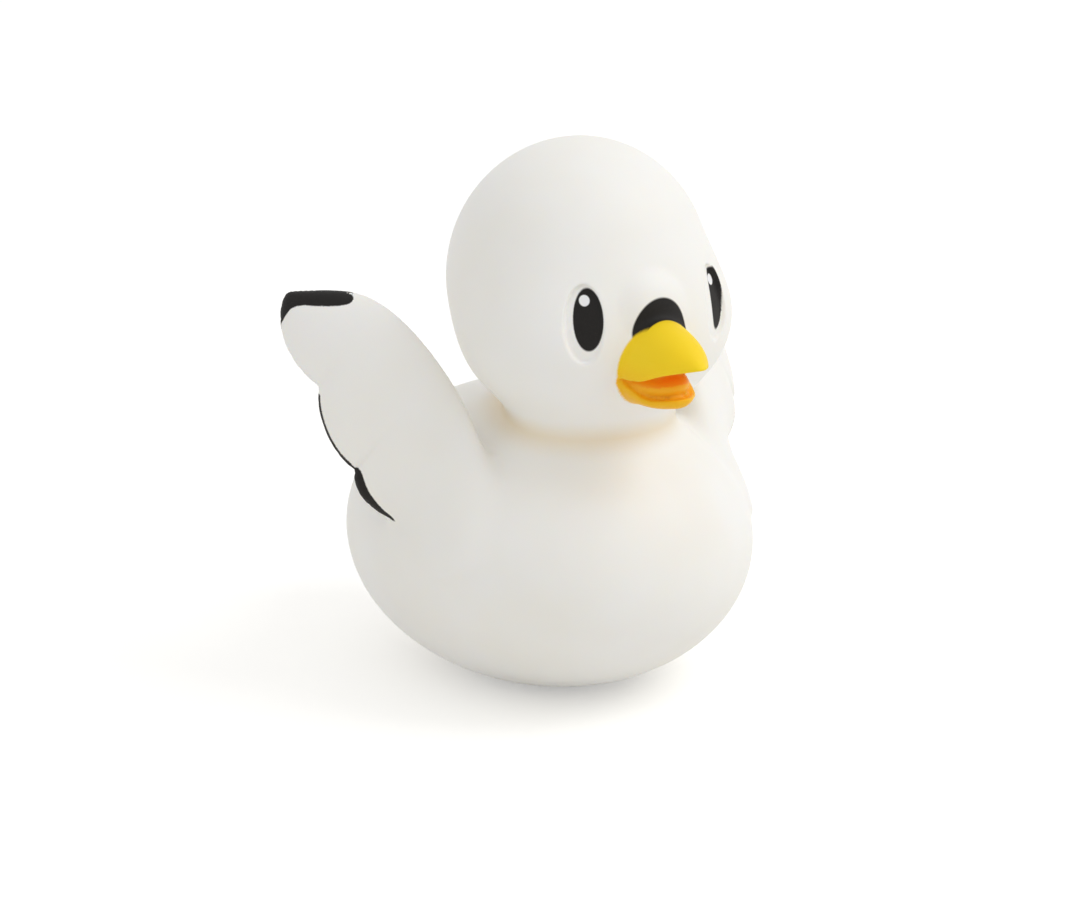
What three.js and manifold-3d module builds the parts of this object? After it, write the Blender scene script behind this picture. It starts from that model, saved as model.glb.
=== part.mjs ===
// Rubber duck bath toy: one hollow moulding in soft vinyl, with raised wings that end in three
// feather lobes, a bill that stands open, shallow eye pockets and a flat foot with a vent hole.
// Millimetres, +Z up. The duck faces -Y and is mirrored about X = 0. Its foot stands on Z = 0.
import * as THREE from 'three';
import { LoftGeometry } from 'three/addons/geometries/LoftGeometry.js';
import { mergeVertices } from 'three/addons/utils/BufferGeometryUtils.js';
import Module from 'manifold-3d';

// Shell
const wall = 2.2; // thickness of the vinyl
const ventDiameter = 3.2; // hole in the foot that lets the air out
const footSink = 1.2; // how far the flat foot cuts into the round belly

// Torso: an oval whose lower half and upper half have their own heights
const torso = { halfWidth: 32.8, halfLength: 38, top: 25.2, bottom: 25.1 };

// Head: an upright oval set forward on the torso, and a broader oval lower down and further
// forward that makes the cheeks and the face
const head = { halfWidth: 21.8, halfLength: 20, halfHeight: 22.2, forward: 9.2, sink: 1.4 };
const cheeks = {
  halfWidth: 23.4, halfLength: 17.4, halfHeight: 16.4, forward: 5.9, drop: 6.5, blend: 4,
};
// The neck is rounded softly at the chest and makes a crease at the back; passage is the distance
// in front of and behind the head's centre over which the one turns into the other.
const neck = { frontBlend: 12, backBlend: 5, passage: 12 };

// Tail: a short oval that points up and back; its centre is sunk in from the torso's rear end
const tail = { halfWidth: 9, halfLength: 12, halfHeight: 5.5, sink: 5, rise: 7.1, tilt: 32 };
const tailBlend = 11;

// Eye pockets: tall ovals sunk into the face, leaning out at the top, at a height over the middle
// of the cheeks. Their floors face further out to the side than the skin does, by floorTurn.
const eye = {
  turn: 32.6, rise: 3.8, halfWidth: 3.3, halfHeight: 6.3, lean: 3, depth: 0.7, floorTurn: 8,
};

// Wings: points that the front edge and the rear edge pass through, from root to tip, measured
// outward from the torso's widest side, and back and up from its centre. The rear edge passes
// through its two notches.
const wing = {
  front: [[-12.3, -20.5, 6], [-12.2, -14, 20], [-10.2, -5.5, 31.5], [-5, 6, 41.2], [4, 16.4, 44.9]],
  rear: [[-9.8, -3, 0], [-1.3, -3.5, 9.5], [4.2, -1, 16.6], [5.7, 7.8, 28.4], [8.9, 18.2, 39.6]],
  notches: [0.5, 0.75], // shares of the length
  lobeBulge: 2.2, // how far each feather lobe stands out past the notches
  lobeLean: 1.7, // over 1 the lobes bulge most towards their outer ends
  rootThickness: 8,
  tipThickness: 4.6,
  frontFullness: 0.28, // how much fuller the section is near the front edge
  rootFlare: 0.9, // extra thickness at the root, as a share
  flareLength: 0.16, // share of the length over which that fades
  tipLength: 0.17, // share of the length over which the tip is rounded off
  tipRoundness: 0.95, // 1 would close the tip to a point
  hollowShare: 0.6, // past this the wing is too thin to be hollow
};

// Bill. Its root is buried in the face, and each half reaches out past the face. Each list runs
// evenly from root to tip: the heights of the ridge, the lips and the keel over the middle of the
// cheeks, and the share of the width that is left.
const bill = {
  buried: 6.8,
  reach: 12.1,
  halfWidth: 6.8,
  taper: [1, 1, 0.9, 0.62, 0.12],
  ridge: [4.5, 4.3, 3.7, 2, -1.2],
  lips: [-4.8, -4.8, -4.9, -3.7, -1.8],
  roof: 1.6, // height of the hollow under the upper half, at its root
  lowerReach: 9.5,
  lowerHalfWidth: 6,
  lowerTaper: [1, 1, 0.94, 0.76, 0.24],
  lowerLips: [-5.1, -5.2, -6.1, -6.5, -4.1],
  keel: [-10.2, -10.2, -9.5, -8.2, -4.8],
  scoop: 0.55, // how deep the lower half is hollowed, as a share of its depth
};

// Knob: the low swelling over the bill, which stands out of the face by stand
const knob = { halfWidth: 5.6, halfDepth: 3, halfHeight: 5.2, height: 5.1, stand: 0.9 };

// Mesh fineness
const bodyFineness = { around: 50, rings: 46 };
const cavityFineness = { around: 28, rings: 22 };
const wingFineness = { around: 22, rings: 24 };
const wingHollowFineness = { around: 12, rings: 6 };
const billFineness = { around: 20, rings: 12 };

const radians = THREE.MathUtils.degToRad;
const { lerp, smoothstep } = THREE.MathUtils;
const up = new THREE.Vector3(0, 0, 1);
const wasm = await Module();
wasm.setup();

// A closed geometry as a solid that can be joined and cut.
function solidOf(geometry) {
  const bare = new THREE.BufferGeometry().copy(geometry);
  bare.deleteAttribute('normal');
  bare.deleteAttribute('uv');
  const merged = mergeVertices(bare, 1e-4);
  return new wasm.Manifold(
    new wasm.Mesh({
      numProp: 3,
      vertProperties: merged.attributes.position.array,
      triVerts: new Uint32Array(merged.index.array),
    }),
  );
}

function geometryOf(solid) {
  const { vertProperties, triVerts } = solid.getMesh();
  const geometry = new THREE.BufferGeometry();
  geometry.setAttribute('position', new THREE.BufferAttribute(vertProperties, 3));
  geometry.setIndex(new THREE.BufferAttribute(triVerts, 1));
  geometry.computeVertexNormals();
  return geometry;
}

function loft(sections) {
  return solidOf(new LoftGeometry(sections, { capStart: true, capEnd: true }));
}

// Where the main forms sit.
const torsoCentre = new THREE.Vector3(0, 0, torso.bottom - footSink);
const headCentre = new THREE.Vector3(
  0, -head.forward, torsoCentre.z + torso.top + head.halfHeight - head.sink);
const tailCentre = new THREE.Vector3(
  0, torso.halfLength - tail.sink, torsoCentre.z + tail.rise);
const cheeksCentre = headCentre.clone().sub(new THREE.Vector3(0, cheeks.forward, cheeks.drop));

// Distance, near enough, from a point to an oval with the given half sizes; negative inside.
function ovalDistance(offset, halfSizes) {
  const scaled = offset.clone().divide(halfSizes);
  const slope = scaled.clone().divide(halfSizes).length();
  const length = scaled.length();
  return slope > 0 ? (length * (length - 1)) / slope : -Math.min(...halfSizes.toArray());
}

// The smaller of two distances, rounded off where they are within reach of each other.
function blend(a, b, reach) {
  const overlap = Math.max(reach - Math.abs(a - b), 0) / reach;
  return Math.min(a, b) - (overlap * overlap * reach) / 4;
}

function torsoDistance(point) {
  const offset = point.clone().sub(torsoCentre);
  const height = offset.z > 0 ? torso.top : torso.bottom;
  return ovalDistance(offset, new THREE.Vector3(torso.halfWidth, torso.halfLength, height));
}

function tailDistance(point) {
  const offset = point.clone().sub(tailCentre);
  offset.applyAxisAngle(new THREE.Vector3(1, 0, 0), -radians(tail.tilt));
  return ovalDistance(
    offset, new THREE.Vector3(tail.halfWidth, tail.halfLength, tail.halfHeight));
}

function headDistance(point) {
  const skull = ovalDistance(
    point.clone().sub(headCentre),
    new THREE.Vector3(head.halfWidth, head.halfLength, head.halfHeight));
  const face = ovalDistance(
    point.clone().sub(cheeksCentre),
    new THREE.Vector3(cheeks.halfWidth, cheeks.halfLength, cheeks.halfHeight));
  return blend(skull, face, cheeks.blend);
}

// Distance to the duck's round skin, without wings and bill.
function skinDistance(point) {
  const forwardness = smoothstep(headCentre.y - point.y, -neck.passage, neck.passage);
  const neckBlend = lerp(neck.backBlend, neck.frontBlend, forwardness);
  const body = blend(torsoDistance(point), tailDistance(point), tailBlend);
  return blend(body, headDistance(point), neckBlend);
}

// Where a ray from inside meets the skin, or the skin moved inwards by inset.
function skinPoint(origin, direction, inset = 0) {
  let inside = 0;
  let outside = torso.halfLength * 3;
  while (outside - inside > 1e-6) {
    const middle = (inside + outside) / 2;
    const probe = origin.clone().addScaledVector(direction, middle);
    if (skinDistance(probe) < -inset) inside = middle;
    else outside = middle;
  }
  return origin.clone().addScaledVector(direction, inside);
}

// The line that level sections are drawn about: up through the torso, then through the head.
function axisAt(height) {
  const share = smoothstep(height, torsoCentre.z, headCentre.z);
  return new THREE.Vector3(0, headCentre.y * share, height);
}

function levelSection(height, count, inset) {
  const section = [];
  for (let i = 0; i < count; i++) {
    const angle = (2 * Math.PI * i) / count;
    const direction = new THREE.Vector3(Math.sin(angle), -Math.cos(angle), 0);
    section.push(skinPoint(axisAt(height), direction, inset));
  }
  return section;
}

// Heights of the level sections, spaced evenly along the duck's outline seen from the front.
function sectionHeights(count, inset, bottom) {
  const top = skinPoint(headCentre, up, inset).z;
  const outline = [];
  const samples = count * 12;
  for (let i = 0; i < samples; i++) {
    const height = lerp(bottom, top, (1 - Math.cos((Math.PI * i) / samples)) / 2);
    outline.push(skinPoint(axisAt(height), new THREE.Vector3(1, 0, 0), inset));
  }
  outline.push(new THREE.Vector3(0, headCentre.y, top));
  const lengths = [0];
  for (let i = 1; i <= samples; i++) {
    lengths.push(lengths[i - 1] + outline[i].distanceTo(outline[i - 1]));
  }
  const heights = [];
  for (let i = 0; i < count; i++) {
    const goal = (lengths[samples] * i) / count;
    heights.push(outline[lengths.findIndex((length) => length >= goal)].z);
  }
  return heights;
}

// The round body, from a flat bottom to the crown of the head.
function roundBody(inset, fineness) {
  const heights = sectionHeights(fineness.rings, inset, inset);
  return loft(heights.map((height) => levelSection(height, fineness.around, inset)));
}

// One edge of a wing as a curve through its points.
function wingEdge(points) {
  const side = torsoCentre.clone().setX(torso.halfWidth);
  return new THREE.CatmullRomCurve3(
    points.map((point) => new THREE.Vector3(...point).add(side)), false, 'centripetal');
}

// How far the feather lobes stand out from the rear edge, from 0 at each notch.
function lobe(share) {
  const [first, second] = wing.notches;
  const spans = [[0, first], [first, second], [second, 1]];
  const [start, end] = spans.find(([, stop]) => share <= stop);
  const place = ((share - start) / (end - start)) ** wing.lobeLean;
  return Math.sqrt(Math.max(Math.sin(Math.PI * place), 0));
}

// One wing as a loft of lens-shaped sections from its root inside the torso to its tip, or as far
// along as reach, with its surface moved inwards by inset.
function wingSolid(fineness, reach = 1, inset = 0) {
  const front = wingEdge(wing.front);
  const rear = wingEdge(wing.rear);
  const sections = [];
  for (let i = 0; i <= fineness.rings; i++) {
    const share = reach * Math.sin((Math.PI / 2) * (i / fineness.rings));
    const from = front.getPoint(share);
    const to = rear.getPoint(share);
    const span = front.getTangent(share).add(rear.getTangent(share)).normalize();
    const chord = to.clone().sub(from).normalize();
    const face = new THREE.Vector3().crossVectors(span, chord).normalize();
    to.addScaledVector(chord, wing.lobeBulge * lobe(share));
    const middle = from.clone().add(to).multiplyScalar(0.5);
    const past = Math.max(share - 1 + wing.tipLength, 0) / wing.tipLength;
    const close = Math.sqrt(1 - wing.tipRoundness * past * past);
    const half = (from.distanceTo(to) / 2) * close - inset;
    const flare = 1 + wing.rootFlare * Math.exp(-((share / wing.flareLength) ** 2));
    const thickness = lerp(wing.rootThickness, wing.tipThickness, share) * flare * close;
    const section = [];
    for (let j = 0; j < fineness.around; j++) {
      const angle = (2 * Math.PI * j) / fineness.around;
      const fullness = 1 - wing.frontFullness * Math.cos(angle);
      const depth = Math.sin(angle) * fullness * (thickness / 2 - inset);
      section.push(middle.clone()
        .addScaledVector(chord, Math.cos(angle) * half)
        .addScaledVector(face, depth));
    }
    sections.push(section);
  }
  return loft(sections);
}

// A value read from a smooth curve through evenly spread stops, at share 0 to 1.
function along(stops, share) {
  const curve = new THREE.SplineCurve(stops.map((stop, i) => new THREE.Vector2(i, stop)));
  return curve.getPoint(share).y;
}

// A bill section seen from the front: an outer arc over the top or under the keel, and an inner
// arc back that hollows it. crest is the outer arc's height over the edges, hollow the inner's.
function billSection(forward, halfWidth, edge, crest, hollow) {
  const section = [];
  const half = billFineness.around / 2;
  for (let i = 0; i < billFineness.around; i++) {
    const outer = i < half;
    const angle = (Math.PI * (i % half)) / half;
    const across = outer ? Math.cos(angle) : -Math.cos(angle);
    const rise = (outer ? crest : hollow) * Math.sin(angle);
    section.push(new THREE.Vector3(
      across * halfWidth, cheeksCentre.y - forward, cheeksCentre.z + edge + rise));
  }
  return crest > 0 ? section : section.reverse();
}

function upperBill() {
  const sections = [];
  for (let i = 0; i <= billFineness.rings; i++) {
    const share = Math.sin((Math.PI / 2) * (i / billFineness.rings));
    const forward = cheeks.halfLength + lerp(-bill.buried, bill.reach, share);
    const edge = along(bill.lips, share);
    const crest = along(bill.ridge, share) - edge;
    const halfWidth = bill.halfWidth * along(bill.taper, share);
    sections.push(billSection(forward, halfWidth, edge, crest, bill.roof * (1 - share)));
  }
  return loft(sections);
}

function lowerBill() {
  const sections = [];
  for (let i = 0; i <= billFineness.rings; i++) {
    const share = Math.sin((Math.PI / 2) * (i / billFineness.rings));
    const forward = cheeks.halfLength + lerp(-bill.buried, bill.lowerReach, share);
    const edge = along(bill.lowerLips, share);
    const crest = along(bill.keel, share) - edge;
    const halfWidth = bill.lowerHalfWidth * along(bill.lowerTaper, share);
    sections.push(billSection(forward, halfWidth, edge, crest, crest * bill.scoop));
  }
  return loft(sections);
}

// The swelling above the bill.
function knobSolid() {
  const ball = new THREE.SphereGeometry(1, 20, 12);
  ball.scale(knob.halfWidth, knob.halfDepth, knob.halfHeight);
  const centre = new THREE.Vector3(0, headCentre.y, cheeksCentre.z + knob.height);
  const face = skinPoint(centre, new THREE.Vector3(0, -1, 0));
  ball.translate(face.x, face.y - knob.stand + knob.halfDepth, face.z);
  return solidOf(ball);
}

// What is cut away for one eye pocket: an oval rod, as far in as the pocket's floor.
function eyePocket() {
  const rod = new THREE.CylinderGeometry(1, 1, head.halfLength, 36);
  rod.scale(eye.halfWidth, 1, eye.halfHeight);
  rod.translate(0, -head.halfLength, 0);
  rod.rotateY(radians(eye.lean));
  rod.rotateZ(radians(eye.turn));
  const level = headCentre.clone().setZ(cheeksCentre.z + eye.rise);
  rod.translate(level.x, level.y, level.z);
  const outward = new THREE.Vector3(Math.sin(radians(eye.turn)), -Math.cos(radians(eye.turn)), 0);
  const middle = skinPoint(level, outward);
  const floor = roundBody(eye.depth, bodyFineness)
    .translate(middle.clone().negate().toArray())
    .rotate([0, 0, eye.floorTurn])
    .translate(middle.toArray());
  return solidOf(rod).subtract(floor);
}

function vent() {
  const rod = new THREE.CylinderGeometry(ventDiameter / 2, ventDiameter / 2, wall * 4, 24);
  return solidOf(rod.rotateX(Math.PI / 2));
}

function bothSides(solid) {
  return solid.add(solid.mirror([1, 0, 0]));
}

function duckSolid() {
  const wingHollow = wingSolid(wingHollowFineness, wing.hollowShare, wall);
  const hollow = roundBody(wall, cavityFineness).add(bothSides(wingHollow));
  return roundBody(0, bodyFineness)
    .add(bothSides(wingSolid(wingFineness)))
    .add(upperBill())
    .add(lowerBill())
    .add(knobSolid())
    .subtract(bothSides(eyePocket()))
    .subtract(hollow)
    .subtract(vent());
}

// The finished moulding, moved so that its outline is centred over the origin.
function moulding() {
  const solid = duckSolid();
  const { min, max } = solid.boundingBox();
  return solid.translate([-(min[0] + max[0]) / 2, -(min[1] + max[1]) / 2, 0]);
}

const vinyl = new THREE.MeshStandardMaterial({ color: 0xf2f0ea, roughness: 0.55, metalness: 0 });
const duck = new THREE.Mesh(geometryOf(moulding()), vinyl);
duck.name = 'duck_shell';

const group = new THREE.Group();
group.add(duck);
export default group;
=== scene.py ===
# %% [markdown]
# # A rubber duck for the bath, with raised wings
#
# The real duck is one hollow moulding in soft white vinyl. Everything on it grows out of one skin:
# the torso, the head with its cheeks, the tail, both wings and the open bill. Yellow, orange, black
# and white are sprayed and printed on afterwards. So this lesson models one mesh, and paints it in
# one material.
#
# The CAD model holds the true size and stays as it is. This script loads it first, keeps its box,
# and later hides its coarse mesh behind the fine one.

# %% Load the frame
import math

import bmesh
import bpy
import numpy as np
from mathutils import Matrix, Vector
from mathutils.bvhtree import BVHTree


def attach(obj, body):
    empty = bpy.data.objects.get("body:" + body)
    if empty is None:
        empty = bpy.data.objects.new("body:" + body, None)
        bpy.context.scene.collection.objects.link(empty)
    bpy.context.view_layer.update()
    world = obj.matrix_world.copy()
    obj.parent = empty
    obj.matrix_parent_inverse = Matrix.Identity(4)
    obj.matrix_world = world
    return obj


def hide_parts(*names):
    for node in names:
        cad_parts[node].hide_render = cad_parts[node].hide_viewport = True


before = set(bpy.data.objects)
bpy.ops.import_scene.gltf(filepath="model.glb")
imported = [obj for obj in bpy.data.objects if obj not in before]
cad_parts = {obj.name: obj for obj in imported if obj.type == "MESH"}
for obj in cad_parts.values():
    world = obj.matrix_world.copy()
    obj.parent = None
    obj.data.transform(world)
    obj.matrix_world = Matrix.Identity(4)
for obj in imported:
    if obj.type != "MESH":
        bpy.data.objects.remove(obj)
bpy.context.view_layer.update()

MM = 0.001

# %% [markdown]
# ## The camera
#
# A product photo is taken from some way off with a long lens, so the duck shows little perspective.
# The camera stands 32 degrees to the duck's right and looks down by about 17 degrees. It is placed
# by the point it looks at, two angles and a distance, because those are what a photographer sets.

# %% Camera
LOOK_AT = Vector((8.97, 17.19, 31.6)) * MM
CAMERA_AZIMUTH = math.radians(-32)
CAMERA_ELEVATION = math.radians(17.3)
CAMERA_DISTANCE = 470 * MM
LENS, SENSOR_WIDTH = 89.3, 36  # mm
CLIP_START = 0.01  # metres, well in front of the duck

towards_camera = Vector((
    math.sin(CAMERA_AZIMUTH) * math.cos(CAMERA_ELEVATION),
    -math.cos(CAMERA_AZIMUTH) * math.cos(CAMERA_ELEVATION),
    math.sin(CAMERA_ELEVATION),
))
camera = bpy.data.objects.new("camera", bpy.data.cameras.new("camera"))
camera.data.lens = LENS
camera.data.sensor_width = SENSOR_WIDTH
camera.data.clip_start = CLIP_START
camera.location = LOOK_AT + towards_camera * CAMERA_DISTANCE
camera.rotation_euler = (-towards_camera).to_track_quat("-Z", "Y").to_euler()
bpy.context.scene.collection.objects.link(camera)
bpy.context.scene.camera = camera
print("camera at", [round(value / MM, 1) for value in camera.location], "mm")

# %% [markdown]
# ## Shader maths in Python
#
# A material is a graph of nodes. Written out link by link, even `1 - mask` takes four lines. This
# small class wraps a node's output, so that Python's own operators add the Math nodes. Any other
# node comes from one method, `Graph.node`.

# %% A small language for materials
class Signal:
    """A node's output. Arithmetic on it adds Math nodes to the same material."""

    def __init__(self, graph, socket):
        self.graph = graph
        self.socket = socket

    def maths(self, operation, *values):
        return self.graph.node("ShaderNodeMath", {"operation": operation}, *values)

    def __add__(self, other):
        return self.maths("ADD", self, other)

    def __sub__(self, other):
        return self.maths("SUBTRACT", self, other)

    def __rsub__(self, other):
        return self.maths("SUBTRACT", other, self)

    def __mul__(self, other):
        return self.maths("MULTIPLY", self, other)

    def __truediv__(self, other):
        return self.maths("DIVIDE", self, other)

    def __pow__(self, other):
        return self.maths("POWER", self, other)

    __radd__ = __add__
    __rmul__ = __mul__

    def greater(self, other):
        return self.maths("MAXIMUM", self, other)

    def ramp(self, start, end):
        """0 where this is start, 1 where it is end, with soft shoulders."""
        settings = {"interpolation_type": "SMOOTHSTEP", "clamp": True}
        low, high = (start, end) if start < end else (end, start)
        rising = self.graph.node(
            "ShaderNodeMapRange", settings,
            {"Value": self, "From Min": low, "From Max": high, "To Min": 0.0, "To Max": 1.0})
        return rising if start < end else 1 - rising


class Graph:
    """The nodes of one material, or of the world."""

    def __init__(self, owner):
        owner.use_nodes = True
        self.owner = owner
        self.tree = owner.node_tree
        self.tree.nodes.clear()

    def node(self, kind, settings=None, *values, output=0):
        """Adds a node, sets its settings, then its inputs by order or, from a dict, by name."""
        node = self.tree.nodes.new(kind)
        for name, value in (settings or {}).items():
            setattr(node, name, value)
        for key, value in self.pairs(values):
            socket = node.inputs[key]
            if isinstance(value, Signal):
                self.tree.links.new(value.socket, socket)
            else:
                socket.default_value = value
        return Signal(self, node.outputs[output]) if node.outputs else None

    def pairs(self, values):
        for index, value in enumerate(values):
            if isinstance(value, dict):
                yield from value.items()
            else:
                yield index, value

    def mix(self, factor, first, second):
        """One colour where factor is 0, another where it is 1."""
        return self.node(
            "ShaderNodeMix", {"data_type": "RGBA"},
            {0: factor, 6: self.colour(first), 7: self.colour(second)}, output=2)

    def colour(self, value):
        return value if isinstance(value, Signal) else (*value, 1)

    def place(self):
        """Where a point is on the piece, in millimetres, as three numbers."""
        spot = self.node("ShaderNodeTexCoord", output="Object")
        scaled = self.node("ShaderNodeVectorMath", {"operation": "SCALE"},
                           {"Vector": spot, "Scale": 1 / MM})
        split = self.node("ShaderNodeSeparateXYZ", {}, scaled)
        axes = [Signal(self, output) for output in split.socket.node.outputs]
        return scaled, axes

    def finish(self, shader, output="ShaderNodeOutputMaterial"):
        self.node(output, {}, {"Surface": shader})
        return self.owner


def srgb(red, green, blue):
    """A colour picked in a picture, 0 to 255, as the linear colour that a shader takes."""
    def linear(value):
        value /= 255
        return value / 12.92 if value <= 0.04045 else ((value + 0.055) / 1.055) ** 2.4
    return tuple(linear(value) for value in (red, green, blue))

print("white paper reads", [round(value, 3) for value in srgb(250, 250, 250)])

# %% [markdown]
# ## The studio
#
# The duck stands on a white sweep. One wide lamp, up on the right, gives it a soft shadow, and the
# world fills that shadow with even white light. The camera sees the world as pure white, though the
# world lights the duck with less than that. The floor is matt. It adds a little white glow of its
# own, again for the camera alone, so that it reaches paper white where nothing shades it and still
# shows the duck's shadow.

# %% Floor, world and lamp
FLOOR_SIZE = 4.0
FLOOR_COLOUR = srgb(240, 239, 236)
FLOOR_GRAIN = {"Scale": 0.4, "Detail": 4.0}
FLOOR_PALER = 1.01  # how much paler the floor's light grains are
FLOOR_LIFT = 0.34
WORLD_LEVEL = 0.74
LAMP = {"place": (0.55, -0.45, 0.8), "aim": (0, 0, 0.04), "size": 0.6, "watts": 2.9}  # metres

bpy.context.scene.view_settings.view_transform = "Standard"


def camera_only(graph):
    """1 for what the camera sees, straight or in a gloss or through glass, and 0 for lighting."""
    paths = graph.node("ShaderNodeLightPath").socket.node.outputs
    seen = Signal(graph, paths["Is Camera Ray"])
    for name in ("Is Glossy Ray", "Is Transmission Ray"):
        seen = seen.greater(Signal(graph, paths[name]))
    return seen


def floor_material():
    graph = Graph(bpy.data.materials.new("white_sweep"))
    spot, _ = graph.place()
    grain = graph.node("ShaderNodeTexNoise", {}, {"Vector": spot, **FLOOR_GRAIN})
    tone = graph.mix(grain, FLOOR_COLOUR, [value * FLOOR_PALER for value in FLOOR_COLOUR])
    matt = graph.node("ShaderNodeBsdfDiffuse", {}, {"Color": tone})
    glow = graph.node("ShaderNodeEmission", {}, {"Strength": camera_only(graph) * FLOOR_LIFT})
    return graph.finish(graph.node("ShaderNodeAddShader", {}, matt, glow))


def make_floor():
    form = bmesh.new()
    bmesh.ops.create_grid(form, x_segments=1, y_segments=1, size=FLOOR_SIZE / 2)
    mesh = bpy.data.meshes.new("floor")
    form.to_mesh(mesh)
    form.free()
    floor = bpy.data.objects.new("floor", mesh)
    mesh.materials.append(floor_material())
    bpy.context.scene.collection.objects.link(floor)


def make_world():
    graph = Graph(bpy.data.worlds.new("studio"))
    strength = WORLD_LEVEL + camera_only(graph) * (1 - WORLD_LEVEL)
    sky = graph.node("ShaderNodeBackground", {}, {"Color": (1, 1, 1, 1), "Strength": strength})
    bpy.context.scene.world = graph.finish(sky, "ShaderNodeOutputWorld")


def make_lamp():
    """A square lamp, aimed at the duck's middle."""
    data = bpy.data.lights.new("key", "AREA")
    data.size = LAMP["size"]
    data.energy = LAMP["watts"]
    lamp = bpy.data.objects.new("key", data)
    lamp.location = LAMP["place"]
    towards_duck = Vector(LAMP["aim"]) - lamp.location
    lamp.rotation_euler = towards_duck.to_track_quat("-Z", "Y").to_euler()
    bpy.context.scene.collection.objects.link(lamp)


make_floor()
make_world()
make_lamp()
print("floor", FLOOR_SIZE, "m wide, world at", WORLD_LEVEL)

# %% [markdown]
# ## The duck's round skin as a distance
#
# Clay, metaballs or subdivision could all make a plump body. Here the skin is described by a
# distance: how far a point is from an oval, below zero inside it. Ovals for the torso, the head,
# the cheeks and the tail are joined by a rounded minimum, which makes the same soft necks and
# creases that a sculptor's thumb would. The mesh is made afterwards and pulled onto it, so the
# form and the mesh are chosen apart from each other.
#
# The neck is tighter at the back than in front: the reach of its blend grows from one number to the
# other over a passage in the middle of the head.

# %% Sizes of the round forms, in millimetres
TORSO = {"half": (32.8, 38.0, 25.2), "below": 25.1, "sink": 1.2}
HEAD = {"half": (21.8, 20.0, 22.2), "forward": 9.2, "sink": 1.4}
CHEEKS = {"half": (23.4, 17.4, 16.4), "forward": 5.9, "drop": 6.5, "blend": 4.0}
TAIL = {"half": (9.0, 12.0, 5.5), "sink": 5.0, "rise": 7.1, "tilt": 32.0, "blend": 11.0}
NECK = {"back": 5.0, "front": 12.0, "passage": 12.0}
MIDDLE = 0.43  # how far behind the origin the torso's centre lies

torso_centre = np.array([0, MIDDLE, TORSO["below"] - TORSO["sink"]])
head_rise = TORSO["half"][2] + HEAD["half"][2] - HEAD["sink"]
head_centre = torso_centre + (0, -HEAD["forward"], head_rise)
cheeks_centre = head_centre - (0, CHEEKS["forward"], CHEEKS["drop"])
tail_centre = torso_centre + (0, TORSO["half"][1] - TAIL["sink"], TAIL["rise"])
print("head centre", head_centre, "torso centre", torso_centre)

# %% Distances to the round forms
def smooth_step(value, start, end):
    share = np.clip((value - start) / (end - start), 0, 1)
    return share * share * (3 - 2 * share)


def oval_distance(offset, half):
    """Distance, near enough, from an oval with the given half sizes; negative inside."""
    scaled = offset / half
    length = np.linalg.norm(scaled, axis=1)
    slope = np.linalg.norm(scaled / half, axis=1)
    return length * (length - 1) / np.maximum(slope, 1e-9)


def blend(first, second, reach):
    """The smaller of two distances, rounded off where they are within reach of each other."""
    overlap = np.maximum(reach - np.abs(first - second), 0) / reach
    return np.minimum(first, second) - overlap * overlap * reach / 4


def turned(points, axis, degrees):
    return points @ np.array(Matrix.Rotation(math.radians(degrees), 3, axis)).T


def torso_distance(points):
    offset = points - torso_centre
    below = (*TORSO["half"][:2], TORSO["below"])
    half = np.where(offset[:, 2:] > 0, TORSO["half"], below)
    return oval_distance(offset, half)


def tail_distance(points):
    offset = turned(points - tail_centre, "X", -TAIL["tilt"])
    return oval_distance(offset, np.array(TAIL["half"]))


def head_distance(points):
    skull = oval_distance(points - head_centre, np.array(HEAD["half"]))
    face = oval_distance(points - cheeks_centre, np.array(CHEEKS["half"]))
    return blend(skull, face, CHEEKS["blend"])


def skin_distance(points):
    forwardness = smooth_step(head_centre[1] - points[:, 1], -NECK["passage"], NECK["passage"])
    neck = NECK["back"] + (NECK["front"] - NECK["back"]) * forwardness
    body = blend(torso_distance(points), tail_distance(points), TAIL["blend"])
    return blend(body, head_distance(points), neck)

print("skin under the crown at", round(float(head_centre[2] + HEAD["half"][2]), 2), "mm")

# %% [markdown]
# ## The wings
#
# A wing is a thick leaf between a front edge and a rear edge. It flares at its root, where it grows
# out of the body, and rounds off over the last fifth of its length. The rear edge swells into three
# feather lobes with two notches, and each lobe lies a little over the next one towards the body.
# A ball gives the mesh: its poles become the root and the tip, and each of its circles is laid
# into one section across the wing, so the wing is closed and evenly meshed from the start.

# %% Wing sizes and edges
# Points measured outward from the torso's side, and back and up from its centre.
WING_FRONT = [
    (-11.2, -21, 6), (-12, -14.2, 20), (-10.2, -5.5, 31.5), (-5, 6, 41.2), (4, 16.4, 44.9)]
WING_REAR = [
    (-9.8, -3, 0), (-1.3, -3.5, 9.5), (4.2, -1, 16.6), (5.7, 7.8, 28.4), (8.9, 18.2, 39.6)]
WING_NOTCHES = (0.5, 0.75)  # as shares of the way from the root to the tip
LOBE = {"bulge": 2.2, "lean": 1.7}
WING_THICKNESS = {"root": 8.0, "tip": 4.6, "flare": 0.9, "flare_length": 0.16}
WING_TIP_LENGTH = 0.2
WING_FULLNESS = 0.28  # how far the thickest part of a section lies towards the front edge
FEATHER_STEP = 0.3  # how far each lobe stands over the next one
FEATHER_FADE = 0.1  # as a share of the lobe's own length
WING_MESH = {"around": 72, "along": 120}


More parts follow.
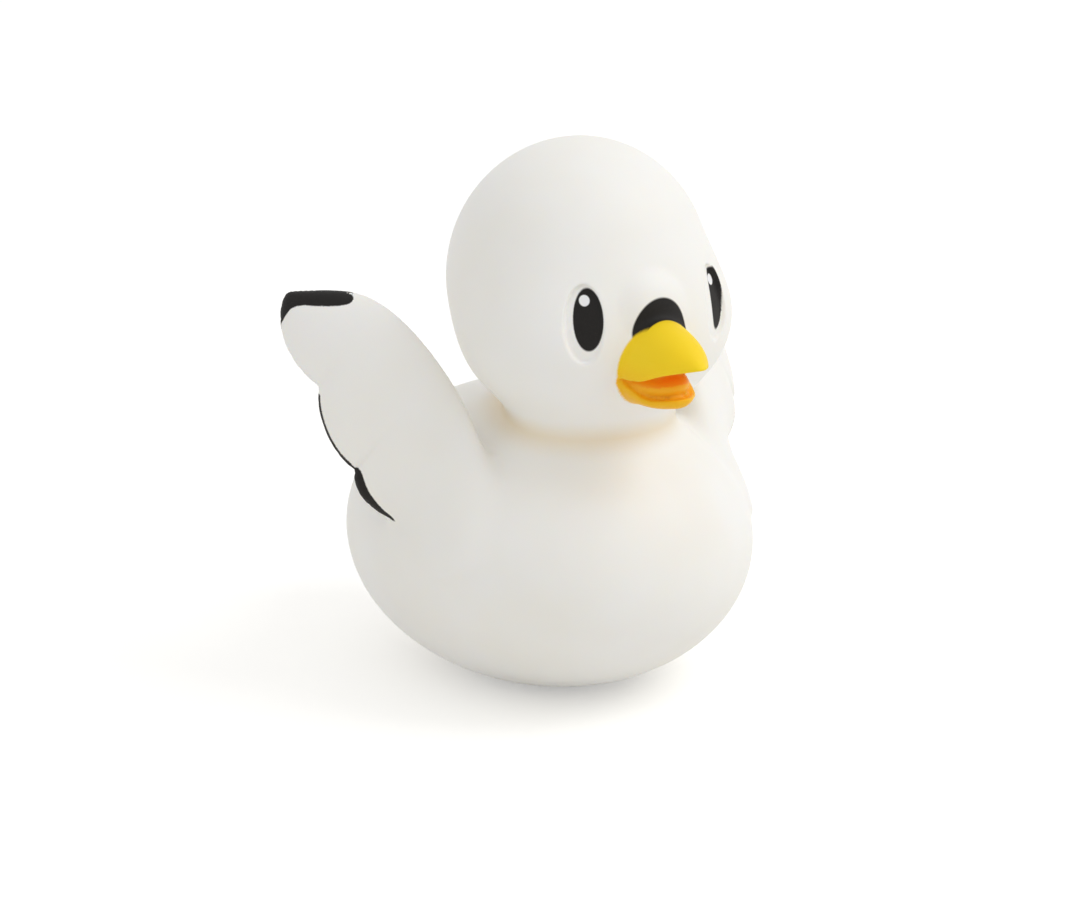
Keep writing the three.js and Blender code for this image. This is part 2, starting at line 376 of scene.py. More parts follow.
def edge_points(points, shares):
    """Points on a centripetal curve through the given ones, at shares from 0 to 1."""
    points = np.array(points, float) + torso_centre + (TORSO["half"][0], 0, 0)
    ends = [2 * points[0] - points[1], 2 * points[-1] - points[-2]]
    padded = np.vstack([ends[0], points, ends[1]])
    place = np.clip(shares, 0, 1) * (len(points) - 1)
    first = np.minimum(place.astype(int), len(points) - 2)
    rest = (place - first)[:, None]
    a, b, c, d = (padded[first + i] for i in range(4))
    before, span, after = (
        np.sqrt(np.linalg.norm(q - p, axis=1))[:, None] for p, q in ((a, b), (b, c), (c, d)))
    leave = ((b - a) / before - (c - a) / (before + span) + (c - b) / span) * span
    arrive = ((c - b) / span - (d - b) / (span + after) + (d - c) / after) * span
    square, cube = rest**2, rest**3
    return (b + leave * rest + (3 * (c - b) - 2 * leave - arrive) * square
            + (leave + arrive - 2 * (c - b)) * cube)


def lobe_place(shares):
    """How far along its own feather lobe each share is, from 0 at the body's side to 1."""
    stops = np.array([0, *WING_NOTCHES, 1])
    lobe = np.clip(np.searchsorted(stops, shares, side="right") - 1, 0, 2)
    return (shares - stops[lobe]) / (stops[lobe + 1] - stops[lobe]), lobe


def unit(vectors):
    return vectors / np.linalg.norm(vectors, axis=1)[:, None]


def wing_surface(shares, angles):
    """Points on the left wing. Angle 0 is the rear edge, half a turn is the front edge."""
    step = 1e-4  # as a share of the wing's length, to find which way the edges run
    front, rear = edge_points(WING_FRONT, shares), edge_points(WING_REAR, shares)
    low, high = np.clip(shares - step, 0, 1), np.clip(shares + step, 0, 1)
    run = unit(edge_points(WING_FRONT, high) - edge_points(WING_FRONT, low))
    run += unit(edge_points(WING_REAR, high) - edge_points(WING_REAR, low))
    chord = unit(rear - front)
    face = unit(np.cross(unit(run), chord))
    along_lobe, lobe = lobe_place(shares)
    swell = np.sqrt(np.maximum(np.sin(np.pi * along_lobe ** LOBE["lean"]), 0))
    rear = rear + chord * (LOBE["bulge"] * swell)[:, None]
    past = np.clip((shares - 1 + WING_TIP_LENGTH) / WING_TIP_LENGTH, 0, 1)
    close = np.sqrt(1 - past * past)
    flare = 1 + WING_THICKNESS["flare"] * np.exp(-(shares / WING_THICKNESS["flare_length"]) ** 2)
    thick = WING_THICKNESS["root"] * (1 - shares) + WING_THICKNESS["tip"] * shares
    half = np.linalg.norm(rear - front, axis=1) / 2
    across = np.cos(angles) * half * close
    depth = np.sin(angles) * (1 - WING_FULLNESS * np.cos(angles)) * thick * flare * close / 2
    over = np.where(lobe > 0, np.exp(-along_lobe / FEATHER_FADE), 0)
    over -= np.where(lobe < 2, np.exp((along_lobe - 1) / FEATHER_FADE), 0)
    depth -= FEATHER_STEP * over * np.clip(np.cos(angles), 0, 1)
    return (front + rear) / 2 + chord * across[:, None] + face * depth[:, None]

print("wing tip at", wing_surface(np.array([1.0]), np.array([0.0])).round(1)[0])

# %% [markdown]
# ## The bill
#
# The bill stands open. Its upper half is a roof that runs from the face to a blunt hooked tip, and
# its lower half is a shallow spoon below it. Cut across, each half lies between an outer oval and
# the mouth's own flatter arch, and the lips are where the two meet. A mould can't reach far in, so
# the mouth is a shallow pocket: a core fills it up to a little behind the lips. All three are given
# as distances, like the skin, so that they can melt into the face and keep soft round lips.

# %% Bill sizes
# Each row runs from the root, buried in the face, to the tip. Heights are over the cheeks' middle.
# The crest is the outer ridge above or the keel below, and the arch is the mouth's own roof or floor.
BILL_BURIED = 6.8
BILL_UPPER = {
    "reach": 12.1, "width": (6.8, 6.8, 6.1, 4.2, 0.8), "crest": (4.5, 4.3, 3.7, 2.0, -1.2),
    "lips": (-4.8, -4.9, -4.8, -3.0, -1.8), "arch": (1.6, 1.2, 0.8, 0.4, 0.1),
}
BILL_LOWER = {
    "reach": 7.0, "width": (6.0, 6.1, 5.7, 4.6, 1.9), "crest": (-10.2, -10.3, -10.1, -9.6, -8.9),
    "lips": (-5.1, -5.2, -6.4, -7.6, -7.3), "arch": (-1.6, -1.4, -0.9, -0.4, 0.0),
}
CORE = {"half": (5.2, 8.2, 2.6), "forward": 14.7, "rise": -6.2}
core_centre = cheeks_centre + (0, -CORE["forward"], CORE["rise"])
BILL_MESH = {"around": 72, "along": 64}
LIP_ROUND, TIP_ROUND, CORNER_FILLET = 0.55, 1.6, 0.9
LEAST_SLOPE = 0.3  # a distance that grows more slowly than this is taken to grow at this rate


def along(stops, shares):
    """A smooth curve through evenly spread stops."""
    stops = np.array(stops, float)
    place = np.clip(shares, 0, 1) * (len(stops) - 1)
    first = np.minimum(place.astype(int), len(stops) - 2)
    rest = place - first
    a, b, c, d = (stops[np.clip(first + i, 0, len(stops) - 1)] for i in (-1, 0, 1, 2))
    leave, arrive = (c - a) / 2, (d - b) / 2
    return (b + leave * rest + (3 * (c - b) - 2 * leave - arrive) * rest**2
            + (leave + arrive - 2 * (c - b)) * rest**3)


def bill_share(half, points):
    """How far along the bill a point lies, from 0 at the buried root to 1 at the tip."""
    forward = cheeks_centre[1] - CHEEKS["half"][1] - points[:, 1]
    return (forward + BILL_BURIED) / (half["reach"] + BILL_BURIED)


def bill_surface(half, shares, angles):
    """Points on one half of the bill. The first half turn is its outside, the second its mouth."""
    forward = CHEEKS["half"][1] - BILL_BURIED + (half["reach"] + BILL_BURIED) * shares
    edge = along(half["lips"], shares)
    crest = along(half["crest"], shares) - edge
    rise = np.abs(np.sin(angles)) * np.where(np.sin(angles) >= 0, crest, along(half["arch"], shares))
    width = along(half["width"], shares)
    return cheeks_centre + np.stack([np.cos(angles) * width, -forward, edge + rise], axis=1)


def rounded_overlap(first, second, reach):
    """The larger of two distances, with the edge between them rounded off."""
    return -blend(-first, -second, reach)


def bill_sides(half, points):
    """How far a point is outside one half's outer oval, and how far it is into the open mouth."""
    share = bill_share(half, points)
    width, edge = along(half["width"], share), along(half["lips"], share)
    crest = along(half["crest"], share) - edge
    x, rise = points[:, 0], points[:, 2] - cheeks_centre[2] - edge
    outer = oval_distance(np.stack([x, rise], axis=1), np.stack([width, np.abs(crest)], axis=1))
    past = (share - 1) * (half["reach"] + BILL_BURIED)
    arch = along(half["arch"], share) * np.maximum(1 - (x / width) ** 2, 0)
    return rounded_overlap(outer, past, TIP_ROUND), (arch - rise) * np.sign(crest)


def bill_value(half, points):
    """Below zero inside one half of the bill, but not yet a true distance."""
    return rounded_overlap(*bill_sides(half, points), LIP_ROUND)


def slope_of(measure, points, here, step=0.01):
    """How fast a value grows along each axis, and altogether."""
    slope = np.stack([(measure(points + shift) - here) / step for shift in np.eye(3) * step], axis=1)
    return slope, np.maximum(np.linalg.norm(slope, axis=1), LEAST_SLOPE)


def true_distance(value, points):
    """Divides a value by how fast it grows, so that it measures millimetres near its zero."""
    here = value(points)
    _, growth = slope_of(value, points, here)
    return here / growth


def bill_distance(points):
    """Distance to the open bill, for points near it."""
    def value(places):
        halves = [bill_value(half, places) for half in (BILL_UPPER, BILL_LOWER)]
        core = oval_distance(places - core_centre, np.array(CORE["half"]))
        return blend(blend(*halves, CORNER_FILLET), core, CORNER_FILLET)
    return true_distance(value, points)

print("bill tip at", bill_surface(BILL_UPPER, np.array([1.0]), np.array([0.0])).round(1)[0])

# %% [markdown]
# ## The knob
#
# A flat oval knob stands on the face above the bill. To place it, a walk starts in the middle of the
# head and goes straight ahead in steps of a hundredth of a millimetre, and the first step outside
# the skin is the spot. The eyes find their places in the same way later.

# %% Knob above the bill
KNOB = {"half": (5.6, 3.0, 5.2), "rise": 5.1, "stand": 0.9}
WALK = np.linspace(0, 40, 4001)


def on_skin(turn, rise):
    """The point of the face's skin at an angle from straight ahead and a height over the cheeks."""
    start = np.array([0, head_centre[1], cheeks_centre[2] + rise])
    ahead = np.array([math.sin(math.radians(turn)), -math.cos(math.radians(turn)), 0])
    steps = start + ahead * WALK[:, None]
    return steps[np.argmax(skin_distance(steps) > 0)]


knob_centre = on_skin(0, KNOB["rise"]) + (0, KNOB["half"][1] - KNOB["stand"], 0)
print("knob at", knob_centre.round(1), "mm")

# %% [markdown]
# ## Balls to start from
#
# A ball gives each form its mesh, because a ball is closed and even. The body is blown up from one
# like a balloon in a mould: each vertex moves outwards until it meets the skin. The wings and the
# two halves of the bill are balls too, each laid out along its own surface. The mouth's core and the
# knob are balls that are only stretched.

# %% Shape a ball into each form
BODY_START = np.array([0, -5.0, 48.0])  # inside both the head and the torso
BODY_LIMIT = 120.0  # farther from there than any of the skin
BODY_HALVINGS = 40  # each one halves the stretch in which the skin must lie
BODY_SPLITS = 6
OVAL_MESH = {"around": 48, "along": 32}
TINY = 1e-5  # places nearer to each other than this are the same place


def ball_shares(places):
    """A ball's vertices as shares from its lower to its upper pole, and angles around it."""
    polar = np.arccos(np.clip(-places[:, 2], -1, 1)) / np.pi
    return np.sin(np.pi / 2 * polar), np.arctan2(places[:, 1], places[:, 0])


def read(verts):
    return np.array([vert.co for vert in verts], float)


def write(verts, places):
    for vert, place in zip(verts, places):
        vert.co = place


def blow_up(places):
    """Moves a unit ball's vertices outwards from the middle of the duck until they meet its skin."""
    directions = unit(places)
    inside, outside = np.zeros(len(places)), np.full(len(places), BODY_LIMIT)
    for _ in range(BODY_HALVINGS):
        middle = (inside + outside) / 2
        probe = BODY_START + directions * middle[:, None]
        within = skin_distance(probe) < 0
        inside, outside = np.where(within, middle, inside), np.where(within, outside, middle)
    return BODY_START + directions * inside[:, None]


def add_ball(form, size, shape):
    """Adds a ball and gives its vertices the places that shape makes of them."""
    verts = bmesh.ops.create_uvsphere(
        form, u_segments=size["around"], v_segments=size["along"], radius=1)["verts"]
    write(verts, shape(read(verts)))


def add_body(form):
    verts = bmesh.ops.create_icosphere(form, subdivisions=BODY_SPLITS, radius=1)["verts"]
    write(verts, blow_up(read(verts)))


def add_wing(form, side=1):
    add_ball(form, WING_MESH, lambda ball: wing_surface(*ball_shares(ball)) * (side, 1, 1))


def add_bill_half(form, half):
    add_ball(form, BILL_MESH, lambda ball: bill_surface(half, *ball_shares(ball)))


def add_core(form):
    add_ball(form, OVAL_MESH, lambda ball: core_centre + ball * CORE["half"])


def add_knob(form):
    add_ball(form, OVAL_MESH, lambda ball: knob_centre + ball * KNOB["half"])


def outward(form):
    """Closes the poles and points the faces outwards."""
    bmesh.ops.remove_doubles(form, verts=form.verts, dist=TINY)
    bmesh.ops.recalc_face_normals(form, faces=form.faces)


def mesh_of(*steps):
    """A mesh with each step's form in it."""
    form = bmesh.new()
    for step in steps:
        step(form)
    outward(form)
    mesh = bpy.data.meshes.new("duck")
    form.to_mesh(mesh)
    form.free()
    return mesh

print("body ball has", len(mesh_of(add_body).vertices), "vertices")

# %% [markdown]
# ## The full form as one distance
#
# The true surface comes from the distance again, now with everything on it: the wings are measured
# by a search tree, and the eye pockets, the foot and the vent hole are cut in. The fillet at a
# wing's root is a little wider in front than behind, as it is on the real duck.
#
# The two eyes aren't quite alike. The duck's left eye, the far one in the photo, sits farther round
# the head and leans more, so each side has its own angles: -1 is the duck's right and 1 its left.

# %% Distance to the finished duck
WING_FILLET = {"rear": 2.0, "front": 3.0, "passage": (-2, 16)}
BILL_FILLET = 1.2
KNOB_FILLET = 1.6
EYE = {"turns": {-1: 30.5, 1: 35.5}, "leans": {-1: 2.0, 1: 12.0}, "rise": 3.8,
       "half_width": 3.3, "half_height": 6.2, "depth": 0.7, "floor_turns": {-1: 8.0, 1: 0.0},
       "wall": 0.6}
FOOT_ROUND = 0.8
VENT = {"radius": 1.6, "depth": 3.0}
REACH = 13.0  # farther than this from a wing, it doesn't matter how far
FAR = 50.0  # stands for any such distance
TIE = 1e-4  # faces whose gaps differ by less than this share are equally near
# Where a wing or the bill can be near, from and to, along x, y and z.
WING_ZONE = (6, np.inf), (-25, np.inf), (12, np.inf)
BILL_ZONE = (-14, 14), (-np.inf, -20), (42, 76)


def in_zone(points, zone):
    """True for the points that lie between the zone's limits along x, y and z."""
    return np.all([(low < value) & (value < high)
                   for value, (low, high) in zip(points.T, zone)], axis=0)


def tree_of(add):
    form = bmesh.new()
    add(form)
    outward(form)
    tree = BVHTree.FromBMesh(form)
    form.free()
    return tree


wing_tree = tree_of(add_wing)


def side_of(tree, point, place, normal, gap):
    """Above zero outside. Beside a sharp lip several faces tie for the nearest, and the one that
    looks at the point most squarely is the one to trust."""
    facing = (point - place).dot(normal)
    if abs(facing) > (1 - TIE) * gap:
        return facing
    ties = tree.find_nearest_range(point, gap * (1 + TIE) + TINY)
    return max(
        ((point - place).dot(normal) for place, normal, _, _ in ties), key=abs, default=facing)


def tree_distance(tree, points, near):
    """Distance to a closed mesh, negative inside, worked out only where near is true."""
    distance = np.full(len(points), FAR)
    for index in np.flatnonzero(near):
        point = Vector(points[index])
        place, normal, _, gap = tree.find_nearest(point, REACH)
        if place is not None:
            distance[index] = math.copysign(gap, side_of(tree, point, place, normal, gap))
    return distance


def eye_offset(points, side):
    """A point seen along one eye's axis: how far across and up it is, and whether it's in front."""
    local = turned((points - head_centre) * (side, 1, 1), "Z", -EYE["turns"][side])
    local[:, 2] -= cheeks_centre[2] + EYE["rise"] - head_centre[2]
    local = turned(local, "Y", -EYE["leans"][side])
    return local[:, 0], local[:, 2], local[:, 1] < 0


eye_middles = {side: on_skin(EYE["turns"][side], EYE["rise"]) * (side, 1, 1) for side in (-1, 1)}


def eye_pocket(points, skin, side):
    """How far the skin is pushed in. The floor is the skin's own form, sunk and turned outwards."""
    across, rise, in_front = eye_offset(points, side)
    flat = np.stack([across, rise], axis=1)
    ring = oval_distance(flat, np.array([EYE["half_width"], EYE["half_height"]]))
    middle = eye_middles[side]
    floor = skin_distance(turned(points - middle, "Z", -side * EYE["floor_turns"][side]) + middle)
    sunk = np.maximum(floor + EYE["depth"] - skin, 0)
    return np.where(in_front, sunk * smooth_step(-ring, 0, EYE["wall"]), 0)


def body_distance(points):
    """Distance to the round skin with the wings on it. Both wings are measured on the left one."""
    mirrored = np.stack([np.abs(points[:, 0]), points[:, 1], points[:, 2]], axis=1)
    wing = tree_distance(wing_tree, mirrored, in_zone(mirrored, WING_ZONE))
    at_front = smooth_step(-points[:, 1], *WING_FILLET["passage"])
    fillet = WING_FILLET["rear"] + (WING_FILLET["front"] - WING_FILLET["rear"]) * at_front
    return blend(skin_distance(points), wing, fillet)


def duck_distance(points):
    distance = body_distance(points)
    skin = skin_distance(points)
    for side in (-1, 1):
        distance += eye_pocket(points, skin, side)
    x, y, z = points.T
    knob = oval_distance(points - knob_centre, np.array(KNOB["half"]))
    distance = blend(distance, knob, KNOB_FILLET)
    near = in_zone(points, BILL_ZONE)
    distance[near] = blend(distance[near], bill_distance(points[near]), BILL_FILLET)
    distance = -blend(-distance, z, FOOT_ROUND)
    vent = np.maximum(np.hypot(x, y - MIDDLE) - VENT["radius"], z - VENT["depth"])
    return np.maximum(distance, -vent)

print("the eyes sit at", [middle.round(1).tolist() for middle in eye_middles.values()], "mm")

# %% [markdown]
# ## Melt, settle and relax
#
# A voxel remesh melts the forms into a single skin of even little squares, as a sculptor does before
# the fine work. Then every vertex slides along its own normal until the distance is zero, and
# between those moves the mesh is relaxed within the surface, so that its squares stay even. The body
# and the wings go first, with coarse squares, so that the wide fillets fill in cleanly. The bill and
# the knob join them in a second, finer pass, where the squares are split once more at small forms.
# Around the bill and the eyes the normals turn too sharply to be followed, so there the vertices go
# straight down the slope of the distance instead.

# %% Tools for moving a whole mesh at once
RELAX = 0.5  # how much of the way to the middle of its neighbours a vertex goes each time


def get_places(mesh):
    places = np.empty(len(mesh.vertices) * 3)
    mesh.vertices.foreach_get("co", places)
    return places.reshape(-1, 3)


def set_places(mesh, places):
    mesh.vertices.foreach_set("co", places.ravel())
    mesh.update()


def get_normals(mesh):
    normals = np.empty(len(mesh.vertices) * 3, np.float32)
    mesh.vertex_normals.foreach_get("vector", normals)
    return normals.reshape(-1, 3).astype(float)


def get_edges(mesh):
    edges = np.empty(len(mesh.edges) * 2, np.int32)
    mesh.edges.foreach_get("vertices", edges)
    return edges.reshape(-1, 2)


def relaxed(places, normals, edges, strength):
    """Moves each vertex towards the mean of its neighbours, but only within the surface."""
    total, count = np.zeros_like(places), np.zeros(len(places))
    for one, other in ((0, 1), (1, 0)):
        for axis in range(3):
            total[:, axis] += np.bincount(
                edges[:, one], places[edges[:, other], axis], minlength=len(places))
        count += np.bincount(edges[:, one], minlength=len(places))
    pull = total / np.maximum(count, 1)[:, None] - places
    pull -= normals * np.sum(pull * normals, axis=1)[:, None]
    return places + pull * strength


def settle(mesh, measure, rounds, longest, steep=None):
    """Pulls a mesh onto the form that measure gives the distance to, along its own normals, and no
    vertex farther than longest in one round. In the steep places the vertices go straight down the
    slope of the distance instead, so nothing can fold."""
    edges = get_edges(mesh)
    for _ in range(rounds):
        places, ways = get_places(mesh), get_normals(mesh)
        places = relaxed(places, ways, edges, RELAX)
        distance = measure(places)
        if steep:
            zone = steep(places)
            slope, growth = slope_of(measure, places[zone], distance[zone])
            distance[zone] /= growth
            ways[zone] = slope / growth[:, None]
        places -= ways * np.clip(distance, -longest, longest)[:, None]
        set_places(mesh, places)
    left_over = float(np.abs(measure(get_places(mesh))).mean())
    print(len(mesh.vertices), "vertices,", round(left_over, 4), "mm off on average")

# %% Melt the forms together and settle the skin
COARSE, FINE = 1.3, 0.63
FINE_BILL = (-8.5, 8.5), (-np.inf, -26), (50, 73)
FINE_VENT = {"radius": 2.4, "height": 4}
FINE_RING = (0.6, 1.2)  # an eye pocket's wall, as shares of the pocket's own size

body_and_wings = mesh_of(add_body, add_wing, lambda form: add_wing(form, -1))
duck = bpy.data.objects.new("duck_moulding", body_and_wings)
bpy.context.scene.collection.objects.link(duck)


def melt(size):
    """Swaps the duck's mesh for one closed skin of squares of the given size."""
    modifier = duck.modifiers.new("melt", "REMESH")
    modifier.mode = "VOXEL"
    modifier.voxel_size = size
    bpy.context.view_layer.update()
    graph = bpy.context.evaluated_depsgraph_get()
    melted = bpy.data.meshes.new_from_object(duck.evaluated_get(graph))
    duck.modifiers.clear()
    duck.data = melted


def in_fine_zone(points):
    """True around the bill, the vent and the walls of the eye pockets."""
    x, y, z = points.T
    at_vent = (np.hypot(x, y - MIDDLE) < FINE_VENT["radius"]) & (z < FINE_VENT["height"])
    fine = in_zone(points, FINE_BILL) | at_vent
    for side in (-1, 1):
        across, rise, in_front = eye_offset(points, side)
        ring = np.hypot(across / EYE["half_width"], rise / EYE["half_height"])
        fine |= in_front & (ring > FINE_RING[0]) & (ring < FINE_RING[1])
    return fine


def is_steep(points):
    """The fine places but for the vent, where the skin has to reach down a narrow hole."""
    return in_fine_zone(points) & (points[:, 2] > 2 * VENT["depth"])


def refine(mesh):
    """Splits the squares of the fine places once more."""
    form = bmesh.new()
    form.from_mesh(mesh)
    fine = in_fine_zone(read(form.verts))
    form.verts.index_update()
    edges = [edge for edge in form.edges if all(fine[vert.index] for vert in edge.verts)]
    bmesh.ops.subdivide_edges(form, edges=edges, cuts=1, use_grid_fill=True)
    form.to_mesh(mesh)
    form.free()


def rejoin(form):
    form.from_mesh(duck.data)


melt(COARSE)
settle(duck.data, body_distance, rounds=12, longest=0.8)
duck.data = mesh_of(
    rejoin,
    lambda form: add_bill_half(form, BILL_UPPER),
    lambda form: add_bill_half(form, BILL_LOWER),
    add_core, add_knob)
melt(FINE)
refine(duck.data)
settle(duck.data, duck_distance, rounds=10, longest=0.4, steep=is_steep)
melted = duck.data

# %% [markdown]
# ## Paint
#
# The toy is sprayed through masks. Yellow covers the bill with a soft edge on the face, orange fills
# the mouth, partly as paint and partly as painted bounce light, black covers the knob and the rims of
# the wings, and the eyes are printed in their pockets: a black oval with a white spot. Each mask is a
# shape worked out in millimetres from where the point is. The rims follow the wings' own edges, so
# that mask is measured in Python and carried by an attribute of the mesh. So are two depths that turn
# the colours as painted shade: into the mouth, where the orange deepens, and into the crease of the
# neck, where the vinyl turns darker and warmer.

# %% Measure the paint on the wings' rims
# Each band is a row of stops along a wing's surface: share, angle, and half width in millimetres.
# Angle 0 is the rear edge, pi is the front edge, and between pi and two pi lies the outer face.
RIM_BANDS = [
    [(0.957, 5.9, 0.5), (0.968, 5.3, 1.0), (0.972, 4.76, 1.3), (0.962, 4.3, 1.45), (0.94, 4.08, 1.45),
     (0.908, 4.01, 1.5), (0.879, 3.94, 1.5), (0.854, 3.87, 1.4), (0.838, 3.8, 1.2)],
    [(0.85, 3.14, 0.9), (0.89, 3.14, 1.6), (0.93, 3.14, 1.7), (0.98, 3.14, 1.7), (1.0, 3.14, 1.6)],
    [(0.9, 2.4, 0.8), (0.95, 2.2, 1.2), (0.985, 1.6, 1.3), (0.975, 0.9, 1.1), (0.95, 0.6, 0.8)],
    [(0.76, 0.5, 0.7), (0.82, 0.6, 0.6), (0.9, 0.6, 0.6), (0.95, 0.4, 0.8)],
    [(0.735, 6.1, 0.75), (0.7, 6.15, 0.7), (0.624, 6.2, 0.65), (0.576, 6.2, 0.6), (0.521, 6.15, 0.6)],
    [(0.51, 0.35, 0.9), (0.6, 0.35, 0.9), (0.74, 0.3, 0.9)],
    [(0.482, 5.95, 1.25), (0.46, 5.95, 1.35), (0.42, 5.95, 1.25), (0.35, 5.92, 1.0), (0.28, 5.88, 0.7),
     (0.22, 5.7, 0.25)],
    [(0.22, 0.4, 0.3), (0.32, 0.35, 0.9), (0.42, 0.3, 1.2), (0.495, 0.25, 1.3)],
]
BAND_STOPS = 90
WING_SIDE = 20  # the wings' painted rims lie farther out than this
# The neck's painted shade is full within the first of these distances, in millimetres, and gone past
# the second.
CREASE_SHADE_FADE = (0.5, 7.0)


def band_distance(points, stops):
    """Distance from points to a painted band, negative on the paint."""
    place = np.linspace(0, len(stops) - 1, BAND_STOPS)
    share, angle, width = (np.interp(place, range(len(stops)), column) for column in zip(*stops))
    line = wing_surface(share, angle)
    gaps = np.linalg.norm(points[:, None] - line, axis=2) - width
    return gaps.min(axis=1)


def rim_paint(places):
    """Distance from the painted rims, measured on the left wing for both sides."""
    points = places.copy()
    points[:, 0] = np.abs(points[:, 0])
    paint = np.full(len(points), FAR)
    on_wing = points[:, 0] > WING_SIDE
    for stops in RIM_BANDS:
        paint[on_wing] = np.minimum(paint[on_wing], band_distance(points[on_wing], stops))
    return paint


# %% Measure how deep a point lies in the mouth and in the neck's crease
def mouth_depth(points):
    """How far past the lips into the mouth a point lies, below zero on the bill's outside."""
    sides = [bill_sides(half, points) for half in (BILL_UPPER, BILL_LOWER)]
    depths = [mouth - outer for outer, mouth in sides]
    values = [np.maximum(outer, mouth) for outer, mouth in sides]
    return np.where(values[0] < values[1], *depths)


def crease_shade_depth(points):
    """1 in the crease between the head and the torso, fading to 0 on either side, for a painted shade.
    """
    farther = np.maximum(torso_distance(points), head_distance(points))
    return 1 - smooth_step(farther, *CREASE_SHADE_FADE)


def keep(mesh, name, values):
    mesh.attributes.new(name, "FLOAT", "POINT").data.foreach_set("value", values)


MEASURES = {"rim_paint": rim_paint, "mouth_depth": mouth_depth, "crease_shade": crease_shade_depth}
for name, measure in MEASURES.items():
    keep(melted, name, measure(get_places(melted)))
print("painted bands:", len(RIM_BANDS))

# %% [markdown]
# ## One material
#
# The colours lie over one another in the order in which they are sprayed: vinyl, black, yellow with
# the orange mouth, and the printed eyes last. A fine noise shifts each mask's edge a little, because
# spray never ends in a clean line. The vinyl lets light in. Three tones are painted shade: the
# yellow darkens lower down the bill, the orange deepens further into the mouth, and the vinyl turns
# darker and warmer deep in the neck's crease, for the shade there and the light that bounces between
# the head and the body.

# %% Mix the colours in one material
VINYL = srgb(250, 249, 246)
VINYL_WARM = srgb(247, 244, 237)
# A darker, warmer vinyl: painted shade and bounce light in the neck's crease.
VINYL_CREASE_SHADE = srgb(238, 220, 186)
BLACK = srgb(20, 17, 15)
BLACK_WORN = srgb(44, 39, 34)
YELLOW = srgb(255, 217, 30)
# Painted shade: the bill's yellow darkens to this lower down.
YELLOW_SHADED = srgb(250, 188, 22)
# The mouth's orange is partly its paint and partly painted bounce light between its yellow walls.
ORANGE = srgb(255, 186, 34)
# Painted shade: the mouth's orange deepens to this further in.
ORANGE_SHADED = srgb(255, 158, 28)
WHITE_SPOT = srgb(246, 246, 248)
BILL_MASK = {"x": 0.0, "rise": -3.5, "half_width": 7.1, "half_height": 7.1}
KNOB_MASK = {"x": 0.2, "rise": 0.6, "half_width": 5.2, "half_height": 6.7}
PUPILS = {
    -1: {"turn": 28.8, "rise": 4.45, "half_width": 2.35, "half_height": 4.75, "lean": 1.0},
    1: {"turn": 38.8, "rise": 4.3, "half_width": 1.75, "half_height": 4.8, "lean": 14.0},
}
SPOT = {"across": -0.5, "rise": 2.9, "radius": 0.82}
# How soft the edge of each mask is, in millimetres, and how far the noise shifts it.
SOFT = {"print": 0.1, "knob": 0.15, "bill": 0.18, "rims": 0.12}
RAGGED, RAGGED_PRINT = 0.25, 0.3
# Where a mask fades in, measured forward from the origin, or over the cheeks' middle.
FACE_AHEAD, BILL_AHEAD, BILL_OVER, EYE_AHEAD = (20.0, 22.0), (33.2, 33.6), (-13.0, -12.0), (10.0, 12.0)
# Where one tone turns into another: up the bill, where the yellow darkens lower down as painted
# shade, and from its lips into the mouth, where the orange deepens further in as painted shade.
YELLOW_SHADE, MOUTH_EDGE, MOUTH_SHADE = (-1.0, -8.0), (-0.3, 1.6), (1.5, 5.0)
# Noise, as grains to the millimetre, and how much of it turns a colour.
GRAIN, EDGE_NOISE, TONE_NOISE, GLOSS_NOISE, SKIN_NOISE = 9.0, 4.0, 0.05, 1.5, 3.0
WORN, WARM = (0.0, 0.35), (-0.3, 0.3)
ROUGHNESS = {"vinyl": 0.48, "paint": 0.1, "noise": 0.08}
BUMP = {"Strength": 0.12, "Distance": 0.0001}
SKIN_BUMP = 0.6
SOFT_VINYL = {
    "Specular IOR Level": 0.25, "Subsurface Weight": 0.25, "Subsurface Radius": (1.0, 0.8, 0.55),
    "Subsurface Scale": 0.002,
}


def oval_mask(across, rise, half_width, half_height, softness):
    """1 inside an oval and 0 outside it, with an edge of the given softness in millimetres."""
    ring = ((across / half_width) ** 2 + (rise / half_height) ** 2) ** 0.5
    distance = (ring - 1) * min(half_width, half_height)
    return distance.ramp(softness, -softness)


def eye_masks(x, y, z, side, ragged):
    """The printed pupil and its white spot, seen along the eye's own axis."""
    own = PUPILS[side]
    turn, lean = math.radians(side * own["turn"]), math.radians(side * own["lean"])
    back = y - float(head_centre[1])
    flat = x * math.cos(turn) + back * math.sin(turn)
    in_front = (x * math.sin(turn) - back * math.cos(turn)).ramp(*EYE_AHEAD)
    height = z - float(cheeks_centre[2] + own["rise"])
    across = flat * math.cos(lean) - height * math.sin(lean)
    pupil = oval_mask(
        across + ragged, height, own["half_width"], own["half_height"], SOFT["print"])
    spot = oval_mask(across - SPOT["across"], height - SPOT["rise"],
                     SPOT["radius"], SPOT["radius"], SOFT["print"])
    return pupil * in_front, spot * in_front


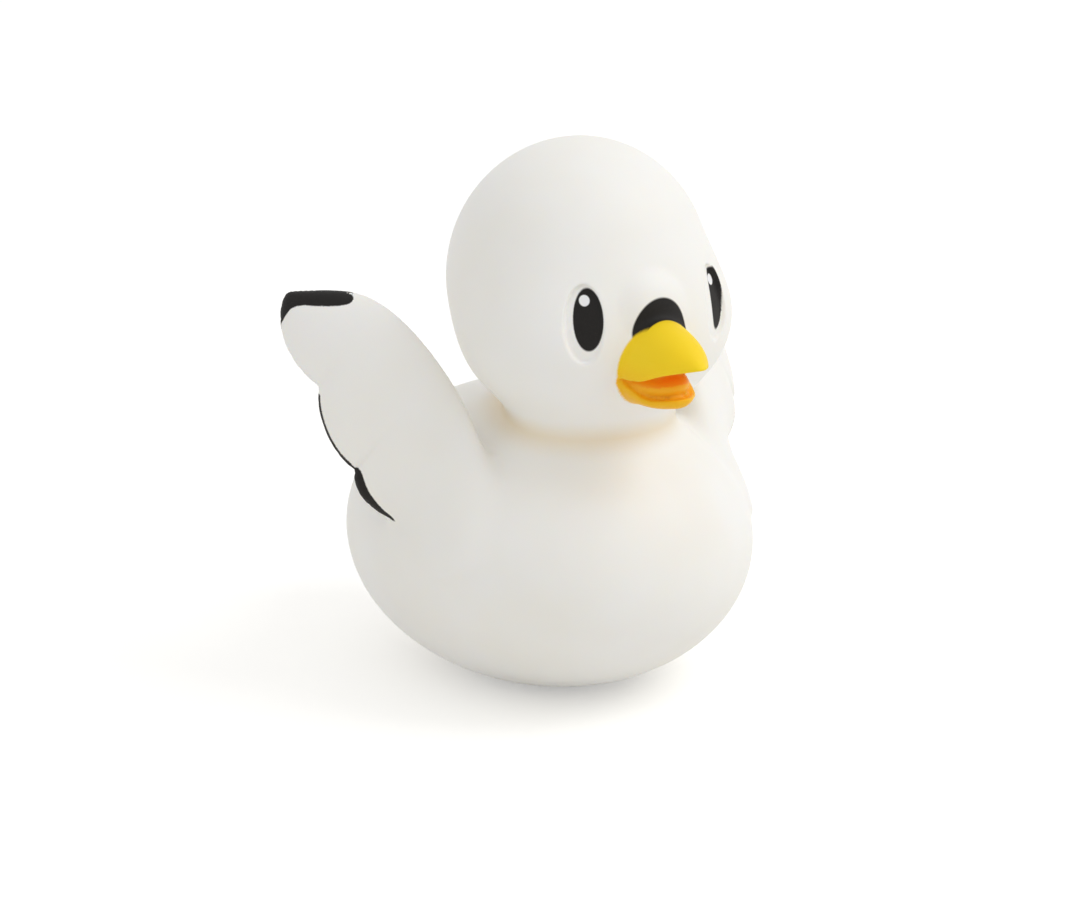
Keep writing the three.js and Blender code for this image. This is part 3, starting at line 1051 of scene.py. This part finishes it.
def duck_material():
    graph = Graph(bpy.data.materials.new("painted_vinyl"))
    place, (x, y, z) = graph.place()

    def noise(scale, detail=2.0):
        """Noise around 0, from about -0.5 to 0.5."""
        return graph.node("ShaderNodeTexNoise", {},
                          {"Vector": place, "Scale": scale, "Detail": detail}) - 0.5

    def carried(name):
        """A value that was measured in Python and is carried by the mesh."""
        return Signal(graph, graph.node(
            "ShaderNodeAttribute", {"attribute_name": name}).socket.node.outputs["Fac"])

    grain = noise(GRAIN)
    ragged = noise(EDGE_NOISE) * RAGGED
    forward, rise = y * -1, z - float(cheeks_centre[2])
    on_face = forward.ramp(*FACE_AHEAD)
    face_mask = oval_mask(x - BILL_MASK["x"] + ragged, rise - BILL_MASK["rise"] + ragged,
                          BILL_MASK["half_width"], BILL_MASK["half_height"], SOFT["bill"])
    ahead = forward.ramp(*BILL_AHEAD) * rise.ramp(*BILL_OVER)
    yellow = face_mask.greater(ahead) * on_face
    knob = oval_mask(x - KNOB_MASK["x"], rise - KNOB_MASK["rise"],
                     KNOB_MASK["half_width"], KNOB_MASK["half_height"], SOFT["knob"]) * on_face
    rims = (carried("rim_paint") + ragged).ramp(SOFT["rims"], -SOFT["rims"])
    black_paint = knob.greater(rims)
    depth = carried("mouth_depth")
    pupils, spots = zip(*(eye_masks(x, y, z, side, ragged * RAGGED_PRINT) for side in (-1, 1)))
    pupil, spot = pupils[0].greater(pupils[1]), spots[0].greater(spots[1])

    vinyl = graph.mix(noise(TONE_NOISE).ramp(*WARM), VINYL, VINYL_WARM)
    # Painted shade: the vinyl turns darker and warmer deep in the neck's crease.
    vinyl = graph.mix(carried("crease_shade"), vinyl, VINYL_CREASE_SHADE)
    black = graph.mix(grain.ramp(*WORN), BLACK, BLACK_WORN)
    # Painted shade: the orange deepens further into the mouth.
    mouth = graph.mix(depth.ramp(*MOUTH_SHADE), ORANGE, ORANGE_SHADED)
    # Painted shade: the yellow darkens towards the bottom of the bill.
    bill = graph.mix(rise.ramp(*YELLOW_SHADE), YELLOW, YELLOW_SHADED)
    bill = graph.mix(depth.ramp(*MOUTH_EDGE), bill, mouth)
    colour = graph.mix(black_paint, vinyl, black)
    colour = graph.mix(yellow, colour, bill)
    colour = graph.mix(pupil, colour, black)
    colour = graph.mix(spot, colour, WHITE_SPOT)

    matt = black_paint.greater(pupil) * (1 - spot)
    roughness = ROUGHNESS["vinyl"] + matt * ROUGHNESS["paint"] + noise(GLOSS_NOISE) * ROUGHNESS["noise"]
    height = noise(SKIN_NOISE, 4.0) * SKIN_BUMP + grain * matt
    bump = graph.node("ShaderNodeBump", {}, {"Height": height, **BUMP})
    shader = graph.node("ShaderNodeBsdfPrincipled", {}, {
        "Base Color": colour, "Roughness": roughness, "Normal": bump, **SOFT_VINYL})
    return graph.finish(shader)


set_places(melted, get_places(melted) * MM)
melted.materials.clear()
melted.materials.append(duck_material())
for polygon in melted.polygons:
    polygon.use_smooth = True
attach(duck, "root")
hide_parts("duck_shell")
print("colours are mixed by", len(melted.materials[0].node_tree.nodes), "nodes")
